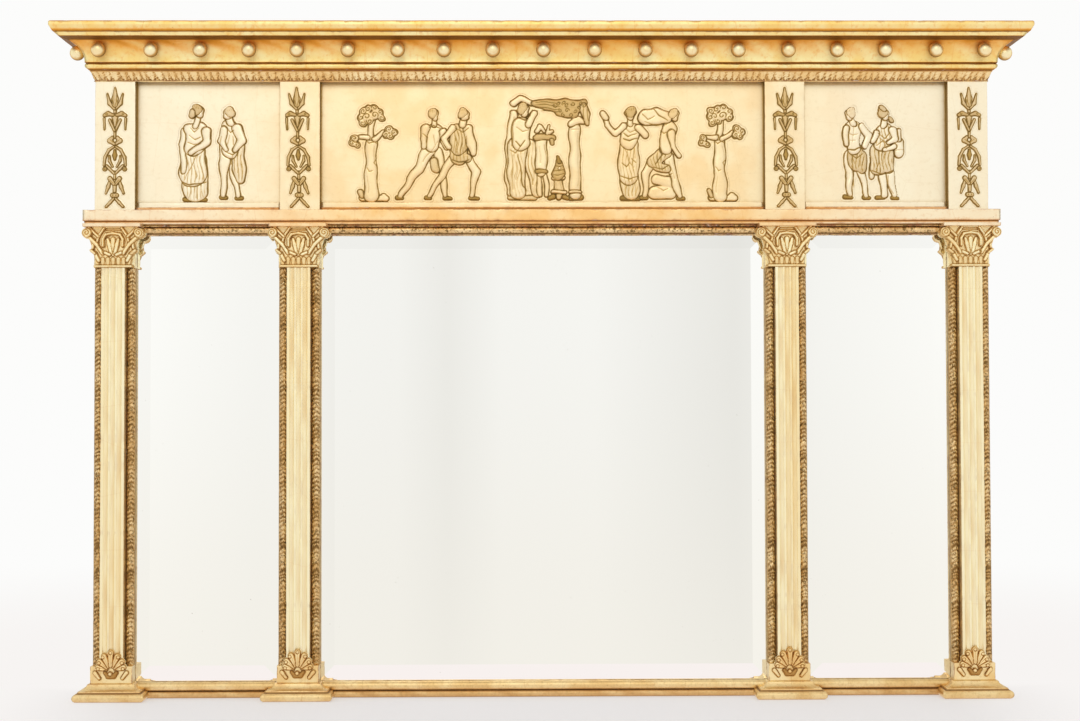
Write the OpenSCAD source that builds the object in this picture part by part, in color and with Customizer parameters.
// Overmantel mirror: a low, wide chimney glass of three bevelled plates in a gilded pine frame.
// Four fluted pilasters carry an architrave, a frieze of figures in low relief and a cornice with balls.
// X runs across, Z up, and the front faces -Y. The origin is on the shelf, under the middle of the object.

/* [Overall] */
// Width over the cornice
overall_w = 1450; // [1400:5:1500]
// Height from the shelf to the top of the cornice
overall_h = 1000; // [960:5:1060]

/* [Back frame] */
// Thickness of the pine back frame, front to back
frame_t = 28; // [26:1:32]
// Thickness of the back frame behind the frieze
lap_t = 11; // [9:1:12]
// Height of the bottom rail
bottom_rail_h = 21; // [18:1:22]
// Thickness of the thin boards that close the back
backboard_t = 6; // [5:1:7]
// Boards that close each of the three bays
boards_per_bay = 4; // [3:1:6]

/* [Pilasters] */
// Distance of the two inner pilasters from the middle
inner_x = 364; // [345:1:375]
// Width of a pilaster over its two carved slips
pilaster_w = 62; // [60:1:66]
// Width of the fluted shaft
shaft_w = 35; // [34:1:39]
// How far the shaft stands out from the back frame
shaft_out = 19; // [17:1:21]
// How far the carved slips stand out from the back frame
slip_out = 9; // [8:0.5:10]
// Flutes on a shaft
flute_count = 3; // [1:1:3]
// Height of a capital
capital_h = 64.5; // [60:0.5:70]
// Width of a capital over its scrolls
capital_w = 94; // [90:1:100]

/* [Plinths and base] */
// Height of a plinth
plinth_h = 28; // [26:1:30]
// How far a plinth's round foot stands out from the pilaster, on each side
plinth_out = 21.5; // [20:0.5:23]
// Height of the reeded base rail
base_rail_h = 27; // [26:0.5:28]

/* [Frieze and architrave] */
// Height of the frieze
frieze_h = 188; // [180:1:200]
// Width of a frieze die
die_w = 60; // [54:1:62]
// How far a die stands out from the frieze panels
die_t = 14; // [12:0.5:16]
// How far the architrave stands out from the dies
architrave_out = 14; // [12:0.5:15]

/* [Cornice] */
// How far the cornice stands out from the dies
cornice_out = 55; // [52:1:57]
// Radius of the deep hollow under the cornice
hollow_r = 32; // [30:0.5:34]
// Diameter of a turned ball
ball_d = 22; // [19:0.5:23]
// Balls along the front
ball_count = 19; // [13:1:21]

/* [Mirror plates] */
// Thickness of the plate glass
glass_t = 5; // [4:0.5:6]
// Width of the ground bevel
bevel_w = 26; // [20:1:30]
// Glass hidden behind the sight edge
glass_lap = 5; // [4:0.5:6]

/* [Hangers] */
// Inside width of a hanger ring
ring_inside = 34; // [28:1:40]
// Thickness of the ring wire
ring_wire = 4; // [3:0.5:5]
// Height of the ring pivots above the shelf
ring_z = 660; // [600:5:680]

/* [Hidden] */
$fn = 48;

gilding = "#E6C887";
pine = "#B98F5C";
silvering = "#E4E6E4";
steel = "#6E6A64";

// Widths: the frieze's end faces lie at x = +-half_w, and the outer pilasters stand at its ends.
half_w = overall_w / 2 - cornice_out;
outer_x = half_w - pilaster_w / 2;
pilaster_x = [-outer_x, -inner_x, inner_x, outer_x];

// The hanger ring: its bar turns in the strap's curl, just off the wood.
ring_r = ring_wire / 2;
ring_bend_r = ring_inside / 2 + ring_r;
curl_play = 0.05;
curl_bore_r = ring_r + curl_play;
strap_t = 1.6;
strap_w = 16;
strap_len = 62;
curl_r = curl_bore_r + strap_t;
pivot_out = ring_r + strap_t + 0.6;
strap_screws = [-32, -50];
screw_head_r = 3.6;
screw_r = 1.9;
screw_len = 22;

// Depths: face_y and back_y are the front and the back of the back frame, die_y the front of the dies.
die_out = die_t / 2;
front_out = die_out + cornice_out;
back_out = frame_t + pivot_out + curl_r;
face_y = (front_out - back_out) / 2;
die_y = face_y - die_out;
panel_y = die_y + die_t;
lap_y = face_y + frame_t - lap_t;
back_y = face_y + frame_t;

// Heights of the cornice, from the top down.
fascia_h = 15;
fascia_round = 5;
fascia_slope = 4.5;
fillet_h = 5;
fillet_out = 48;
soffit_h = 1;
bead_r = 4.5;
hollow_in = 12.5;
cornice_z1 = overall_h - fascia_h;
hollow_z = cornice_z1 - fillet_h - soffit_h - hollow_r;
cornice_z0 = hollow_z - 2 * bead_r - 2;
leaf_h = 16;
leaf_out = 6;
leaf_foot_out = 2;
frieze_z1 = cornice_z0 - leaf_h;
frieze_z0 = frieze_z1 - frieze_h;

// Heights of the architrave and of the pilasters under it.
sill_h = 6;
sill_in = 5;
band_h = 17;
band_foot_h = 4.5;
band_foot_out = architrave_out - 2;
ledge_h = 8;
ledge_t = 3;
band_z1 = frieze_z0 - sill_h;
soffit_z = band_z1 - band_h - band_foot_h;
capital_z = soffit_z - capital_h;
top_slip_h = 14.5;
sight_z1 = soffit_z - top_slip_h;
sight_z0 = base_rail_h;
block_z1 = plinth_h + 22;

// The back frame's openings: the glass stands in them with a little air all round.
rebate_w = 8;
air = 1;
stile_in = glass_lap + air;
opening_z1 = sight_z1 + stile_in;
top_rail_h = 45;
tenon_len = 30;
tenon_t = 10;
outer_stile_x = half_w - pilaster_w + stile_in;
inner_stile_w = pilaster_w - 2 * stile_in;
big = 200;

// ---- Placing of profiles -----------------------------------------------------------------------------
// A profile is drawn with x as the distance that it stands out, and y as the height.

// Runs a profile across the front, from x0 to x1, standing out from the plane y.
module across(x0, x1, y) {
    translate([x1, y, 0]) rotate([90, 0, -90]) linear_extrude(x1 - x0) children();
}

// Runs a profile from front to back, from y0 to y1, standing out to the right of the plane x.
module return_run(x, y0, y1) {
    translate([x, y1, 0]) rotate([90, 0, 0]) linear_extrude(y1 - y0) children();
}

// Repeats on the left what stands on the right.
module both_sides() {
    children();
    mirror([1, 0, 0]) children();
}

// Plan of a front moulding with mitred ends: it stands out by out and reaches back by inset.
module front_mitre(out, inset) {
    linear_extrude(2 * overall_h) polygon([
        [-half_w - out, die_y - out], [half_w + out, die_y - out],
        [half_w - inset, die_y + inset], [-half_w + inset, die_y + inset]
    ]);
}

// Plan of the right return of the same moulding.
module side_mitre(out) {
    linear_extrude(2 * overall_h) polygon([
        [half_w, die_y], [half_w + out, die_y - out], [half_w + out, back_y], [half_w, back_y]
    ]);
}

// A moulding's front length, mitred at both ends.
module mitred_front(out, inset) {
    intersection() {
        across(-half_w - out, half_w + out, die_y) children();
        front_mitre(out, inset);
    }
}

// The same moulding's two returns along the ends of the frieze.
module mitred_returns(out) {
    both_sides() intersection() {
        return_run(half_w, die_y - out, back_y) intersection() {
            children();
            square([big, 2 * overall_h]);
        }
        side_mitre(out);
    }
}

// A box given by its lowest and highest corners.
module box(low, high) {
    translate(low) cube(high - low);
}

// ---- Back frame --------------------------------------------------------------------------------------

// Tenons of a rail, which run into the two outer stiles.
module rail_tenons(z0, z1) {
    shoulder = 4;
    mid_y = face_y + frame_t / 2;
    both_sides() box([outer_stile_x - 1, mid_y - tenon_t / 2, z0 + shoulder],
        [outer_stile_x + tenon_len, mid_y + tenon_t / 2, z1 - shoulder]);
}

// Sinkings in the back edges of a bay, which take the backboards.
module backboard_rebates() {
    z0 = bottom_rail_h - rebate_w;
    z1 = opening_z1 + rebate_w;
    y = back_y - backboard_t;
    x_in = inner_x - inner_stile_w / 2;
    x_out = inner_x + inner_stile_w / 2;
    box([-x_in - rebate_w, y, z0], [x_in + rebate_w, back_y + 1, z1]);
    both_sides() box([x_out - rebate_w, y, z0], [outer_stile_x + rebate_w, back_y + 1, z1]);
}

module outer_stile(side) {
    color(pine) difference() {
        mirror([side < 0 ? 1 : 0, 0, 0]) union() {
            box([outer_stile_x, face_y, 0], [half_w, back_y, frieze_z0]);
            box([outer_stile_x, lap_y, frieze_z0 - 1], [half_w, back_y, cornice_z1]);
        }
        rail_tenons(0, bottom_rail_h);
        rail_tenons(opening_z1, frieze_z0);
        backboard_rebates();
    }
}

module inner_stile(x) {
    color(pine) difference() {
        box([x - inner_stile_w / 2, face_y, bottom_rail_h], [x + inner_stile_w / 2, back_y, opening_z1]);
        backboard_rebates();
    }
}

module bottom_rail() {
    color(pine) difference() {
        union() {
            box([-outer_stile_x, face_y, 0], [outer_stile_x, back_y, bottom_rail_h]);
            rail_tenons(0, bottom_rail_h);
        }
        backboard_rebates();
    }
}

module middle_rail() {
    color(pine) difference() {
        union() {
            box([-outer_stile_x, face_y, opening_z1], [outer_stile_x, back_y, frieze_z0]);
            rail_tenons(opening_z1, frieze_z0);
        }
        backboard_rebates();
    }
}

module top_rail() {
    color(pine) box([-outer_stile_x, lap_y, cornice_z1 - top_rail_h], [outer_stile_x, back_y, cornice_z1]);
}

module frieze_battens() {
    color(pine) both_sides() box([inner_x - inner_stile_w / 2, lap_y, frieze_z0],
        [inner_x + inner_stile_w / 2, back_y, cornice_z1 - top_rail_h]);
}

// ---- Frieze ------------------------------------------------------------------------------------------

module frieze_board() {
    color(gilding) box([-half_w, panel_y, frieze_z0], [half_w, lap_y, cornice_z1]);
}

module frieze_die(i) {
    x = sign(pilaster_x[i]) * (abs(pilaster_x[i]) > inner_x ? half_w - die_w / 2 : inner_x);
    color(gilding) {
        box([x - die_w / 2, die_y, frieze_z0], [x + die_w / 2, panel_y, frieze_z1]);
        box([x - die_w / 2, die_y, band_z1], [x + die_w / 2, face_y, frieze_z0 + 1]);
    }
}

// The sill runs between the dies, set back from them, and a thin ledge stands at the foot of each panel.
module sill_and_ledge(x0, x1) {
    box([x0, die_y + sill_in, band_z1], [x1, face_y, frieze_z0]);
    box([x0, panel_y - ledge_t, frieze_z0], [x1, panel_y, frieze_z0 + ledge_h]);
}

module frieze_sill() {
    color(gilding) {
        sill_and_ledge(-inner_x + die_w / 2, inner_x - die_w / 2);
        both_sides() sill_and_ledge(inner_x + die_w / 2, half_w - die_w);
    }
}

// ---- Low relief --------------------------------------------------------------------------------------
// A relief is a list of strokes [x0, z0, r0, x1, z1, r1, h]: a bar with round ends, as wide as a round of
// radius r0 at its first end and r1 at its second, that stands h proud of its ground.

module relief(strokes, x, z, y, sides = 12) {
    translate([x, y, z]) rotate([90, 0, 0]) for (s = strokes) linear_extrude(s[6]) hull() {
        translate([s[0], s[1]]) circle(r = s[2], $fn = sides);
        translate([s[3], s[4]]) circle(r = s[5], $fn = sides);
    }
}

// A draped woman standing, one forearm across her waist.
standing_woman = [
    [0, 79, 14, -1, 42, 18, 3], [-1, 42, 18, 1, 18, 17, 3], [-6, 108, 10, 7, 109, 10, 4],
    [0, 104, 13, -1, 82, 13, 4], [2, 118, 4, 4, 128, 4, 3], [6, 131, 7.5, 6, 138, 8.5, 4.5],
    [-4, 133, 4.5, -3, 136, 4, 3.5], [-16, 106, 5, -18, 88, 5, 4], [17, 106, 5, 18, 92, 5, 4.5],
    [18, 92, 5, -6, 76, 3.5, 5], [-15, 5, 3, -9, 6, 3, 3], [10, 6, 3, 17, 5, 3, 3]
];

// A young man standing in a mantle, one leg bare.
standing_youth = [
    [-2, 111, 12, 0, 88, 13, 4], [9, 110, 8, 14, 88, 6, 4.5], [-12, 108, 5, -14, 84, 5, 4.5],
    [-1, 121, 4.5, -4, 128, 4, 3], [-6, 130, 7.5, -4, 137, 8.5, 4.5], [6, 82, 11, 11, 38, 8, 3.5],
    [-8, 84, 9, -10, 62, 6.5, 3], [-10, 62, 6.5, -11, 11, 3, 2.5], [0, 66, 6, 7, 26, 4, 2.5],
    [7, 26, 4, 10, 11, 3, 2.5], [-15, 7, 2.5, -7, 7, 2.5, 2.5], [7, 7, 2.5, 16, 7, 2.5, 2.5]
];

// A man with a bare chest and a cloth round his hips.
draped_man = [
    [2, 112, 11, 1, 92, 9.5, 4.5], [0, 121, 4.5, -2, 127, 4, 3], [-4, 128, 7.5, -4, 134, 8.5, 4.5],
    [14, 114, 5.5, 25, 98, 5, 4.5], [-9, 111, 4, -10, 87, 3.5, 3.5], [5, 76, 11, 3, 56, 10, 4],
    [14, 68, 8, 14, 48, 5, 3.5], [-5, 72, 7, -5, 40, 5, 3], [-5, 40, 5, -5, 14, 3, 2.5],
    [11, 52, 6, 15, 32, 4.5, 3], [15, 32, 4.5, 21, 10, 3, 2.5], [-12, 8, 2.5, -2, 8, 2.5, 2.5],
    [18, 7, 2.5, 24, 7, 2.5, 2.5]
];

// A draped woman with her hair in a knot, carrying a tall vase.
vase_bearer = [
    [-3, 106, 12, -7, 88, 11, 4.5], [-3, 118, 4.5, -4, 124, 4, 3], [-5, 127, 8, -4, 133, 8.5, 4.5],
    [-6, 143, 4, -5, 140, 4, 3.5], [8, 123, 3.5, 5, 126, 3.5, 3.5], [-12, 78, 12, -15, 48, 11, 4],
    [0, 76, 11, 1, 50, 9, 4], [19, 90, 8, 18, 74, 6.5, 5], [19, 106, 4, 19, 96, 4, 5],
    [12, 108, 5, 15, 92, 4, 4], [12, 84, 4, -4, 78, 4, 5.5], [-4, 50, 7, -3, 10, 4.5, 3],
    [4, 50, 6.5, 13, 11, 4, 3], [-14, 7, 2.5, -2, 7, 2.5, 2.5], [9, 7, 2.5, 17, 7, 2.5, 2.5],
    [-22, 52, 4, -21, 34, 3, 2.5]
];

// A man striding to the right, his mantle behind him.
striding_man = [
    [22, 108, 10.5, 18, 88, 9, 4], [22, 119, 4, 22, 126, 4, 3], [22, 129, 7, 21, 134, 7.5, 4.5],
    [9, 110, 6, 6, 84, 4, 3.5], [16, 84, 8.5, -3, 50, 5.5, 3.5], [-3, 50, 5.5, -28, 11, 3.2, 3],
    [24, 80, 7, 36, 42, 4.5, 3], [36, 42, 4.5, 39, 11, 3, 2.5], [26, 66, 5, 23, 48, 4, 2.5],
    [34, 106, 4.5, 37, 92, 4, 4], [-33, 8, 2.6, -26, 8, 3, 2.5], [38, 8, 2.5, 49, 8, 2.3, 2.5]
];

// A man striding to the right in a short tunic.
striding_man_in_tunic = [
    [-3, 105, 12, -4, 82, 11, 4.5], [12, 108, 7, 10, 86, 7, 4.5], [-10, 80, 8, -11, 63, 7, 4],
    [6, 80, 9, 7, 63, 8, 4], [4, 118, 4.5, 4, 125, 4, 3], [4, 128, 7.5, 4, 134, 8, 5],
    [-12, 111, 5, -24, 96, 4.5, 4], [-24, 96, 4.5, -18, 84, 4, 4], [19, 106, 5, 22, 74, 4, 3.5],
    [-14, 68, 7, -30, 41, 5, 3.5], [-30, 41, 5, -48, 11, 3.2, 3], [13, 64, 7, 21, 47, 5.5, 3.5],
    [21, 47, 5.5, 15, 11, 3.2, 3], [-53, 8, 2.6, -46, 8, 3, 2.5], [13, 7, 2.6, 27, 7, 2.3, 2.5]
];

// A tree: a thick trunk with cut side boughs and tufts of leaves.
tree = [
    [0, 11, 10, 0, 50, 7.5, 3], [0, 50, 7.5, -1, 96, 7, 3], [-14, 7, 4, 22, 7, 4, 2.5],
    [-16, 16, 3.5, -12, 10, 4, 2.5], [-1, 96, 5, 1, 122, 4, 3], [-11, 135, 7, -11, 135, 7, 3.5],
    [5, 137, 8, 3, 128, 6, 4], [14, 128, 7, 16, 124, 5, 3.5], [-16, 121, 6.5, -8, 118, 5, 3.5],
    [-3, 128, 7, -10, 124, 6, 4], [4, 95, 3.5, 16, 105, 2.5, 3], [26, 109, 6, 34, 103, 6.5, 3.5],
    [27, 96, 5, 22, 98, 4, 3], [-6, 96, 3.5, -18, 99, 2.5, 3], [-24, 96, 5, -25, 87, 6, 3.5]
];

// A veiled woman with a wreath, who reaches up to the hanging cloth.
veiled_woman = [
    [-30, 116, 12, -33, 90, 13, 4], [-28, 132, 5, -27, 137, 8.5, 4.5], [-26, 141, 8, -27, 137, 8.5, 4.5],
    [-44, 134, 5, -48, 92, 6, 3.5], [-48, 92, 6, -49, 34, 6.5, 3], [-42, 152, 4, -35, 156, 4, 4],
    [-27, 155, 4, -19, 151, 4, 4], [-39, 84, 14, -42, 16, 12, 3.5], [-22, 84, 12, -19, 46, 10, 3.5],
    [-19, 46, 10, -12, 13, 7, 3], [-20, 120, 5, -11, 133, 5, 4.5], [-50, 8, 3, -12, 8, 3, 2.5]
];

// Cloth swag from her hands to the column, with a bunch of leaves over the column.
canopy = [
    [-10, 143, 7, 14, 142, 9.5, 4], [14, 142, 9.5, 34, 136, 9.5, 4], [34, 136, 9.5, 56, 142, 10, 4.5],
    [62, 140, 7, 66, 126, 4.5, 4], [66, 126, 4.5, 66, 117, 3.5, 3.5]
];

// A small altar with an offering, standing behind the burner.
altar = [
    [-8, 100, 4.5, 14, 100, 4.5, 3.5], [-8, 108, 3, -4, 112, 3, 3], [10, 108, 3, 15, 113, 2.5, 3],
    [-2, 92, 8, -2, 42, 7, 2.5], [12, 94, 3, 14, 88, 2.5, 3], [-6, 40, 3.5, -4, 12, 3, 2.5],
    [4, 40, 3, 5, 12, 3, 2.5], [-10, 46, 3, 5, 46, 3, 3]
];

// An incense burner on three feet.
burner = [
    [24, 67, 1.8, 24, 60, 4, 4], [24, 56, 6, 24, 42, 9.5, 4.5], [16, 36, 2.5, 32, 36, 2.5, 4.5],
    [24, 34, 6, 24, 22, 6.5, 4], [15, 16, 3, 33, 16, 3, 4.5], [16, 8, 3.5, 12, 7, 3, 4],
    [32, 8, 3.5, 36, 7, 3, 4], [24, 10, 4, 24, 8, 3.5, 4]
];

// A plain column with a round base and cap.
column = [
    [48, 12, 7.5, 48, 112, 7, 4], [40, 8, 4, 57, 8, 4, 4.5], [42, 118, 5, 58, 118, 5, 4.5],
    [48, 112, 8.5, 52, 112, 8.5, 4]
];

// A woman with one arm raised.
woman_with_raised_arm = [
    [0, 106, 12, -2, 92, 11, 4.5], [1, 119, 4.5, 1, 125, 4, 3], [1, 128, 8, 1, 133, 8.5, 5],
    [-1, 82, 13, -2, 48, 14, 4], [-2, 48, 14, 1, 16, 12, 3.5], [-11, 115, 4.5, -23, 105, 4, 4],
    [-23, 105, 4, -37, 126, 3.5, 4], [-38, 129, 4.5, -40, 134, 4, 4], [12, 113, 5, 23, 101, 4.5, 3.5],
    [-13, 6, 3, 14, 6, 3, 3]
];

// A stooping man with a big bundle on his shoulders, one foot on a rock.
bundle_bearer = [
    [-20, 131, 12, 0, 127, 10, 5], [19, 131, 7.5, 18, 133, 8, 5], [11, 112, 10, 7, 92, 9, 4.5],
    [6, 90, 9, 6, 76, 8, 4], [0, 72, 9, -14, 60, 8, 3.5], [2, 66, 8, -4, 48, 8, 3.5],
    [12, 66, 7, 21, 26, 4.5, 3.5], [21, 26, 4.5, 27, 10, 3.5, 3], [-16, 58, 6, -25, 46, 5, 3],
    [-25, 46, 5, -26, 11, 3.5, 3], [-10, 36, 9, 6, 34, 9, 2.5], [-12, 16, 10, 10, 16, 10, 2.5],
    [24, 7, 3, 32, 7, 2.5, 2.5], [-31, 7, 2.5, -22, 7, 3, 2.5], [15, 78, 4, 25, 70, 3, 3.5]
];

// A slim ornament for a die: a bud, winged scrolls, a cup, a lyre of leaves and a splayed foot.
die_ornament_half = [
    [0, 8, 3, 13, -1, 2, 3], [12, -1.5, 2, 15, -1.5, 1.5, 3], [0, 16, 3.5, 3, 18, 3, 3],
    [0, 22, 4, 0, 38, 3, 3], [3, 38, 2.5, 8, 34, 4, 3], [8, 34, 4, 13, 22, 2, 3],
    [2, 42, 2.5, 9, 50, 3, 3], [9, 50, 3, 16, 55, 3.5, 3],
    [16, 57, 3, 16, 72, 3, 3], [16, 72, 3, 8, 87, 2.5, 3], [0, 60, 2.5, 0, 70, 5, 3], [0, 70, 5, 0, 84, 3, 3],
    [3, 92, 3, 11, 100, 3.5, 3], [0, 90, 4, 0, 104, 3, 3], [0, 106, 3, 0, 118, 3, 3],
    [2, 116, 3, 8, 128, 3, 3],
    [0, 124, 4, 0, 134, 3, 3], [3, 135, 3, 14, 139, 3.5, 3], [16, 136, 3, 17, 112, 1.8, 3],
    [3, 143, 3, 10, 150, 3, 3], [10, 150, 3, 12, 166, 1.5, 3], [0, 144, 5, 0, 160, 6.5, 3],
    [0, 160, 6.5, 0, 179, 1.5, 3]
];

figure_z = frieze_z0 + ledge_h;

module frieze_figures_left() {
    color(gilding) {
        relief(standing_woman, -523, figure_z, panel_y);
        relief(standing_youth, -468, figure_z, panel_y);
    }
}

module frieze_figures_centre() {
    color(gilding) {
        relief(tree, -258, figure_z, panel_y);
        relief(striding_man, -185, figure_z, panel_y);
        relief(striding_man_in_tunic, -123, figure_z, panel_y);
        relief(veiled_woman, 0, figure_z, panel_y);
        relief(canopy, 0, figure_z, panel_y);
        relief(altar, 0, figure_z, panel_y);
        relief(burner, 0, figure_z, panel_y);
        relief(column, 0, figure_z, panel_y);
        relief(woman_with_raised_arm, 132, figure_z, panel_y);
        relief(bundle_bearer, 180, figure_z, panel_y);
        relief(tree, 268, figure_z, panel_y);
    }
}

module frieze_figures_right() {
    color(gilding) {
        relief(draped_man, 469, figure_z, panel_y);
        relief(vase_bearer, 519, figure_z, panel_y);
    }
}

module die_ornaments() {
    color(gilding) for (i = [0 : 3]) {
        x = sign(pilaster_x[i]) * (abs(pilaster_x[i]) > inner_x ? half_w - die_w / 2 : inner_x);
        translate([x, 0, 0]) both_sides() relief(die_ornament_half, 0, frieze_z0, die_y, 8);
    }
}

// ---- Architrave and cornice --------------------------------------------------------------------------

module architrave_profile() {
    translate([-die_out, soffit_z + band_foot_h]) square([architrave_out + die_out, band_h]);
    translate([-die_out, soffit_z]) square([band_foot_out + die_out, band_foot_h + 1]);
}

module architrave_front() {
    color(gilding) mitred_front(architrave_out, die_out) architrave_profile();
}

module architrave_returns() {
    color(gilding) mitred_returns(architrave_out) architrave_profile();
}

module leaf_profile() {
    polygon([
        [-die_t, frieze_z1], [leaf_foot_out, frieze_z1], [leaf_foot_out, frieze_z1 + 2],
        [leaf_out, cornice_z0 - 3], [leaf_out, cornice_z0], [-die_t, cornice_z0]
    ]);
}

module leaf_moulding() {
    color(gilding) {
        mitred_front(leaf_out, die_t) leaf_profile();
        mitred_returns(leaf_out) leaf_profile();
    }
}

// A fillet over a deep quarter hollow, with a half-round bead at its foot.
module cornice_profile() {
    hollow_x = hollow_in + hollow_r;
    bead_x = hollow_in - bead_r;
    difference() {
        polygon([
            [-die_t, cornice_z0], [bead_x, cornice_z0], [bead_x, hollow_z - 1], [hollow_in, hollow_z - 1],
            [hollow_in, hollow_z], [hollow_x, hollow_z], [hollow_x, hollow_z + hollow_r + soffit_h],
            [fillet_out, cornice_z1], [-die_t, cornice_z1]
        ]);
        translate([hollow_x, hollow_z]) circle(r = hollow_r);
    }
    translate([bead_x, cornice_z0 + 1 + bead_r]) circle(r = bead_r);
}

module cornice_front() {
    color(gilding) mitred_front(cornice_out, die_t) cornice_profile();
}

module cornice_returns() {
    color(gilding) mitred_returns(cornice_out) cornice_profile();
}

// The nosing of the top board: it leans out from its foot and rounds over at the top.
module nosing_profile() {
    round_z = overall_h - fascia_round;
    polygon([
        [-big, cornice_z1], [cornice_out - fascia_slope, cornice_z1], [cornice_out, round_z - 2],
        [cornice_out, round_z],
        [cornice_out - fascia_round, overall_h], [-big, overall_h]
    ]);
    translate([cornice_out - fascia_round, round_z]) circle(r = fascia_round);
}

module cornice_top_board() {
    color(gilding) intersection() {
        across(-half_w - cornice_out, half_w + cornice_out, die_y) nosing_profile();
        return_run(0, die_y - cornice_out, back_y) {
            translate([half_w, 0]) nosing_profile();
            mirror([1, 0]) translate([half_w, 0]) nosing_profile();
            translate([-half_w, cornice_z1]) square([2 * half_w, fascia_h]);
        }
    }
}

// Each ball is seated in the hollow: it is a turned ball cut to the hollow's own curve. The balls were
// spaced by eye, and each stands a little off its even place.
ball_out = 26;
ball_z = hollow_z + 15;
ball_inset = 11;
ball_drift = [0, 4.5, 4, 3, 1, 3.5, 4, -0.5, -1, 1, 4, 6.5, 1.5, -1.5, 0, -0.5, -2, 0.5, 0];
return_ball_back = 3;

module cornice_balls() {
    span = 2 * (half_w - ball_inset);
    color(gilding) {
        for (i = [0 : ball_count - 1]) intersection() {
            translate([
                -span / 2 + span * i / (ball_count - 1) + ball_drift[i % len(ball_drift)],
                die_y - ball_out, ball_z
            ]) sphere(d = ball_d);
            across(-half_w, half_w, die_y) translate([hollow_in + hollow_r, hollow_z]) circle(r = hollow_r);
        }
        both_sides() intersection() {
            translate([half_w + ball_out, die_y - return_ball_back, ball_z]) sphere(d = ball_d);
            return_run(half_w, die_y - cornice_out, back_y)
                translate([hollow_in + hollow_r, hollow_z]) circle(r = hollow_r);
        }
    }
}

// ---- Pilasters ---------------------------------------------------------------------------------------

// Fluted shaft: its plan has the front at the bottom.
module pilaster_shaft(i) {
    flute_r = 3.8;
    flute_deep = 2.2;
    pitch = 9.8;
    flute_y = flute_deep - shaft_out - flute_r;
    color(gilding) translate([pilaster_x[i], face_y, block_z1]) linear_extrude(capital_z - block_z1)
        difference() {
            translate([-shaft_w / 2, -shaft_out]) square([shaft_w, shaft_out]);
            for (k = [0 : flute_count - 1]) translate([(k - (flute_count - 1) / 2) * pitch, flute_y])
                circle(r = flute_r);
        }
}

// The two slips beside a shaft: a flat strip with a half-round face.
module leaf_slips(i) {
    w = (pilaster_w - shaft_w) / 2;
    round_r = w / 2 - 0.4;
    color(gilding) translate([pilaster_x[i], face_y, block_z1]) for (s = [-1, 1]) {
        translate([s * (pilaster_w / 2 - w / 2), 0, 0]) linear_extrude(capital_z - block_z1) intersection() {
            union() {
                translate([-w / 2, -slip_out + round_r]) square([w, slip_out - round_r]);
                translate([0, -slip_out + round_r]) circle(r = round_r);
            }
            translate([-w / 2, -slip_out]) square([w, slip_out]);
        }
    }
}

// Half of a capital's front carving: crossing stems, a hooded leaf, leaf tips and a band of small leaves.
capital_half = [
    [16, 22, 3, 34, 47, 3, 15], [22, 44, 2.5, 12, 57, 2.8, 14], [15, 32, 2.5, 14, 44, 2.5, 14],
    [14, 44, 2.5, 8, 51, 2.8, 15], [8, 51, 2.8, 0, 53, 3, 16], [0, 20, 5, 0, 38, 6.5, 14],
    [9, 24, 3, 7, 36, 3.5, 14], [22, 12, 3, 30, 24, 3, 13], [30, 24, 3, 32, 30, 2.5, 13],
    [5, 9, 4, 5, 14, 4, 13.5], [15, 9, 4, 15, 14, 4, 13.5], [24, 8, 3, 24, 13, 3, 13.5],
    [4, 60, 3, 22, 59, 2.5, 14]
];

module capital(i) {
    neck_w = pilaster_w - 7;
    bell_out = 20;
    scroll_r = 8;
    scroll_out = 30;
    abacus_h = 4.5;
    abacus_w = capital_w - 8;
    abacus_out = 31;
    scroll_z = capital_h - abacus_h - scroll_r;
    color(gilding) translate([pilaster_x[i], face_y, capital_z]) {
        box([-pilaster_w / 2, -slip_out, 0], [pilaster_w / 2, 0, capital_h]);
        translate([0, -slip_out, 0]) rotate([90, 0, 0]) linear_extrude(bell_out - slip_out) polygon([
            [-neck_w / 2, 0], [neck_w / 2, 0], [neck_w / 2, 14], [31, 26], [36, 41], [38, 61],
            [-38, 61], [-36, 41], [-31, 26], [-neck_w / 2, 14]
        ]);
        box([-neck_w / 2 - 0.5, -bell_out - 2, 0], [neck_w / 2 + 0.5, -slip_out, 4]);
        box([-abacus_w / 2, -abacus_out, capital_h - abacus_h], [abacus_w / 2, -slip_out, capital_h]);
        for (s = [-1, 1]) translate([s * (capital_w / 2 - scroll_r), -slip_out, scroll_z])
            rotate([90, 0, 0]) cylinder(r = scroll_r, h = scroll_out - slip_out, $fn = 24);
        for (m = [0, 1]) mirror([m, 0, 0]) relief(capital_half, 0, 0, -slip_out);
    }
}

// A seven-lobed anthemion over a small cup, on a plain block.
module anthemion_block(i) {
    lobe_r = 5.5;
    lobe_reach = 25.5;
    lobe_turn = 27;
    lobe_t = 5.5;
    heart_z = 16;
    color(gilding) translate([pilaster_x[i], face_y, plinth_h]) {
        box([-pilaster_w / 2, -shaft_out, 0], [pilaster_w / 2, 0, block_z1 - plinth_h]);
        translate([0, -shaft_out, heart_z]) rotate([90, 0, 0]) linear_extrude(lobe_t) {
            for (k = [-3 : 3]) rotate(k * lobe_turn) {
                translate([0, lobe_reach]) circle(r = lobe_r);
                polygon([[-2, 0], [2, 0], [lobe_r - 0.5, lobe_reach - 2], [-lobe_r + 0.5, lobe_reach - 2]]);
            }
            circle(r = 9);
            translate([-8, -7]) square([16, 5]);
        }
    }
}

// ---- Plinths and base rail ---------------------------------------------------------------------------

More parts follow.
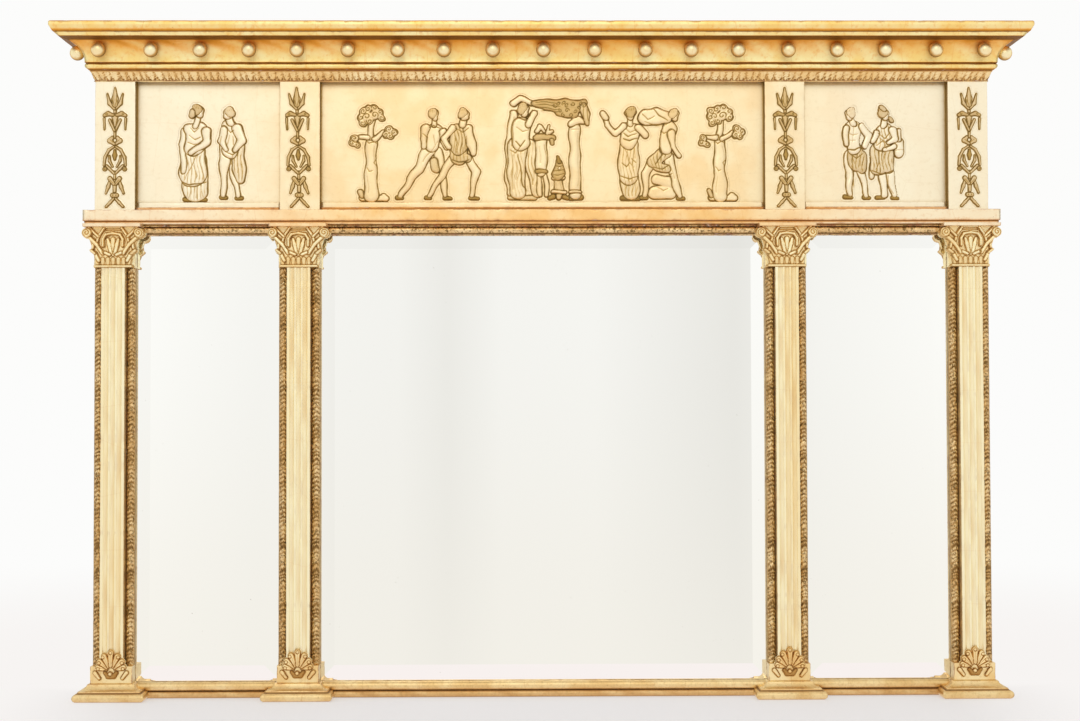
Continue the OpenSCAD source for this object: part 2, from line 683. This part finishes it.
// Half-round foot, a plain step and a hollow up to the pilaster's own face.
module plinth_profile() {
    foot_r = 7.8;
    step_out = 12;
    step_z = 21;
    cove_r = 11.6;
    difference() {
        union() {
            translate([-big, 0]) square([big + plinth_out - foot_r, 2 * foot_r]);
            translate([plinth_out - foot_r, foot_r]) circle(r = foot_r);
            translate([-big, 0]) square([big + step_out, plinth_h]);
        }
        translate([step_out + 1.5, step_z + cove_r - 0.1]) circle(r = cove_r);
    }
}

// Plinth round the front and both sides of a pilaster's foot, before it is cut to the back frame.
module plinth_body(x) {
    half = pilaster_w / 2;
    intersection() {
        across(x - half - plinth_out, x + half + plinth_out, face_y - shaft_out) plinth_profile();
        return_run(x, face_y - shaft_out - plinth_out, back_y) intersection() {
            translate([half, 0]) plinth_profile();
            mirror([1, 0]) translate([half, 0]) plinth_profile();
        }
    }
}

module plinth(i) {
    x = pilaster_x[i];
    outward = abs(x) > inner_x ? sign(x) : 0;
    x_low = outward < 0 ? -half_w : x - big;
    x_high = outward > 0 ? half_w : x + big;
    color(gilding) difference() {
        plinth_body(x);
        box([x_low, face_y, -1], [x_high, back_y + 1, plinth_h + 1]);
    }
}

// Two reeds with a quirk between them.
module base_rail_profile() {
    quirk = 0.8;
    reed_r = (base_rail_h - quirk) / 4;
    ground = 4.5;
    square([ground, base_rail_h]);
    translate([ground, reed_r]) circle(r = reed_r);
    translate([ground, base_rail_h - reed_r]) circle(r = reed_r);
}

// A length of base rail between two pilasters, coped over their plinths.
module base_rail(a, b) {
    x0 = pilaster_x[a] + pilaster_w / 2;
    x1 = pilaster_x[b] - pilaster_w / 2;
    color(gilding) difference() {
        intersection() {
            across(x0, x1, face_y) base_rail_profile();
            box([x0, face_y - shaft_out, 0], [x1, face_y, base_rail_h]);
        }
        plinth_body(pilaster_x[a]);
        plinth_body(pilaster_x[b]);
    }
}

// Moulded slips under the architrave, which hold the tops of the plates.
module top_slips() {
    round_r = 5;
    fillet = 3;
    color(gilding) for (bay = [0 : 2]) {
        x0 = pilaster_x[bay] + pilaster_w / 2;
        x1 = pilaster_x[bay + 1] - pilaster_w / 2;
        across(x0, x1, face_y) {
            translate([0, sight_z1]) square([slip_out - round_r, top_slip_h]);
            intersection() {
                translate([slip_out - round_r, soffit_z - fillet - round_r]) circle(r = round_r);
                translate([0, sight_z1]) square([slip_out, top_slip_h]);
            }
            translate([0, soffit_z - fillet]) square([slip_out, fillet]);
        }
    }
}

// ---- Plates and the back -----------------------------------------------------------------------------

// A bevelled plate: flat back, ground front margins and a thinner edge.
module mirror_plate(bay) {
    x0 = pilaster_x[bay] + pilaster_w / 2 - glass_lap;
    x1 = pilaster_x[bay + 1] - pilaster_w / 2 + glass_lap;
    z0 = sight_z0 - glass_lap;
    z1 = sight_z1 + glass_lap;
    glass_y = face_y + glass_t;
    edge_y = face_y + glass_t / 2;
    b = bevel_w;
    color(silvering) polyhedron(
        points = [
            [x0, glass_y, z0], [x1, glass_y, z0], [x1, glass_y, z1], [x0, glass_y, z1],
            [x0, edge_y, z0], [x1, edge_y, z0], [x1, edge_y, z1], [x0, edge_y, z1],
            [x0 + b, face_y, z0 + b], [x1 - b, face_y, z0 + b],
            [x1 - b, face_y, z1 - b], [x0 + b, face_y, z1 - b]
        ],
        faces = [
            [0, 1, 2, 3], [0, 4, 5, 1], [1, 5, 6, 2], [2, 6, 7, 3], [3, 7, 4, 0],
            [4, 8, 9, 5], [5, 9, 10, 6], [6, 10, 11, 7], [7, 11, 8, 4], [8, 11, 10, 9]
        ]
    );
}

// Small blocks glued round each plate, behind it, which keep it up against the slips.
block_s = 12;
block_len = 40;
side_blocks = 3;

module glazing_blocks() {
    y0 = face_y + glass_t;
    color(pine) for (bay = [0 : 2]) {
        x0 = pilaster_x[bay] + pilaster_w / 2 - stile_in;
        x1 = pilaster_x[bay + 1] - pilaster_w / 2 + stile_in;
        for (k = [1 : side_blocks]) {
            z = bottom_rail_h + (opening_z1 - bottom_rail_h) * k / (side_blocks + 1);
            for (x = [x0, x1 - block_s])
                box([x, y0, z - block_len / 2], [x + block_s, y0 + block_s, z + block_len / 2]);
        }
        across_count = bay == 1 ? 3 : 1;
        for (k = [1 : across_count]) {
            x = x0 + (x1 - x0) * k / (across_count + 1);
            for (z = [bottom_rail_h, opening_z1 - block_s])
                box([x - block_len / 2, y0, z], [x + block_len / 2, y0 + block_s, z + block_s]);
        }
    }
}

// Ends of a bay's backboards, in their rebates.
function stile_reach(outer) = (outer ? pilaster_w / 2 - stile_in : inner_stile_w / 2) - rebate_w + air / 2;
function bay_ends(bay) = [
    pilaster_x[bay] + stile_reach(bay == 0),
    pilaster_x[bay + 1] - stile_reach(bay == 2)
];
board_z0 = bottom_rail_h - rebate_w + air / 2;
board_pitch = (opening_z1 + rebate_w - air / 2 - board_z0) / boards_per_bay;

module backboards() {
    color(pine) for (bay = [0 : 2]) for (k = [0 : boards_per_bay - 1]) {
        ends = bay_ends(bay);
        z = board_z0 + k * board_pitch;
        box([ends[0], back_y - backboard_t, z], [ends[1], back_y, z + board_pitch - air]);
    }
}

module backboard_pins() {
    head_r = 2;
    head_t = 0.8;
    shank_r = 0.8;
    shank_len = 15;
    edge = 4;
    color(steel) for (bay = [0 : 2]) for (k = [0 : boards_per_bay - 1]) {
        ends = bay_ends(bay);
        z = board_z0 + k * board_pitch;
        for (x = [ends[0] + edge, ends[1] - edge]) for (dz = [30, board_pitch - 30])
            translate([x, back_y, z + dz]) rotate([90, 0, 0]) union() {
                translate([0, 0, -head_t]) cylinder(r = head_r, h = head_t);
                translate([0, 0, -head_t / 2]) cylinder(r = shank_r, h = shank_len);
            }
    }
}

// ---- Hangers -----------------------------------------------------------------------------------------
ring_x = (outer_stile_x + rebate_w + half_w) / 2;
pivot_y = back_y + pivot_out;

// A strap: a flat plate with a round foot, its top rolled round the ring's bar.
module hanger_strap(x) {
    translate([x, back_y, ring_z]) difference() {
        union() {
            box([-strap_w / 2, 0, -strap_len + strap_w / 2], [strap_w / 2, strap_t, 0]);
            translate([0, strap_t, -strap_len + strap_w / 2]) rotate([90, 0, 0])
                cylinder(r = strap_w / 2, h = strap_t);
            translate([-strap_w / 2, pivot_out, 0]) rotate([0, 90, 0]) cylinder(r = curl_r, h = strap_w);
        }
        translate([-strap_w / 2 - 1, pivot_out, 0]) rotate([0, 90, 0])
            cylinder(r = curl_bore_r, h = strap_w + 2);
        for (z = strap_screws) translate([0, strap_t, z]) rotate([90, 0, 0]) {
            translate([0, 0, -1]) cylinder(r = screw_r, h = strap_t + 2);
            cylinder(r1 = screw_head_r, r2 = screw_r, h = strap_t);
            translate([0, 0, -1]) cylinder(r = screw_head_r, h = 1);
        }
    }
}

module hanger_straps() {
    color(steel) both_sides() hanger_strap(ring_x);
}

module hanger_screws() {
    slot_w = 0.8;
    y = back_y + strap_t;
    color(steel) for (s = [-1, 1]) for (z = strap_screws) translate([s * ring_x, y, ring_z + z])
        rotate([90, 0, 0]) difference() {
            union() {
                cylinder(r1 = screw_head_r, r2 = screw_r, h = strap_t);
                translate([0, 0, strap_t]) cylinder(r = screw_r, h = screw_len - strap_t);
            }
            translate([-screw_head_r, -slot_w / 2, -1]) cube([2 * screw_head_r, slot_w, 1.6]);
        }
}

// A D-shaped ring: a straight bar in the strap's curl and a half circle of wire hanging from it.
module hanger_ring(x) {
    color(steel) translate([x, pivot_y, ring_z]) {
        translate([-ring_bend_r, 0, 0]) rotate([0, 90, 0]) cylinder(r = ring_r, h = 2 * ring_bend_r);
        rotate([90, 0, 0]) rotate([0, 0, 180]) rotate_extrude(angle = 180)
            translate([ring_bend_r, 0]) circle(r = ring_r);
        for (s = [-1, 1]) translate([s * ring_bend_r, 0, 0]) sphere(r = ring_r);
    }
}

// ---- The object --------------------------------------------------------------------------------------
outer_stile(-1);  // outer_stile_left
inner_stile(-inner_x);  // inner_stile_left
inner_stile(inner_x);  // inner_stile_right
outer_stile(1);  // outer_stile_right
bottom_rail();
middle_rail();
top_rail();
frieze_battens();
frieze_board();
frieze_die(0);  // frieze_die_1
frieze_die(1);  // frieze_die_2
frieze_die(2);  // frieze_die_3
frieze_die(3);  // frieze_die_4
frieze_sill();
frieze_figures_left();
frieze_figures_centre();
frieze_figures_right();
die_ornaments();
architrave_front();
architrave_returns();
leaf_moulding();
cornice_front();
cornice_returns();
cornice_top_board();
cornice_balls();
capital(0);  // capital_1
capital(1);  // capital_2
capital(2);  // capital_3
capital(3);  // capital_4
pilaster_shaft(0);  // pilaster_shaft_1
pilaster_shaft(1);  // pilaster_shaft_2
pilaster_shaft(2);  // pilaster_shaft_3
pilaster_shaft(3);  // pilaster_shaft_4
leaf_slips(0);  // leaf_slips_1
leaf_slips(1);  // leaf_slips_2
leaf_slips(2);  // leaf_slips_3
leaf_slips(3);  // leaf_slips_4
anthemion_block(0);  // anthemion_block_1
anthemion_block(1);  // anthemion_block_2
anthemion_block(2);  // anthemion_block_3
anthemion_block(3);  // anthemion_block_4
plinth(0);  // plinth_1
plinth(1);  // plinth_2
plinth(2);  // plinth_3
plinth(3);  // plinth_4
base_rail(0, 1);  // base_rail_left
base_rail(1, 2);  // base_rail_centre
base_rail(2, 3);  // base_rail_right
top_slips();
mirror_plate(0);  // mirror_plate_left
mirror_plate(1);  // mirror_plate_centre
mirror_plate(2);  // mirror_plate_right
glazing_blocks();
backboards();
backboard_pins();
hanger_straps();
hanger_screws();
hanger_ring(-ring_x);  // hanger_ring_left
hanger_ring(ring_x);  // hanger_ring_right
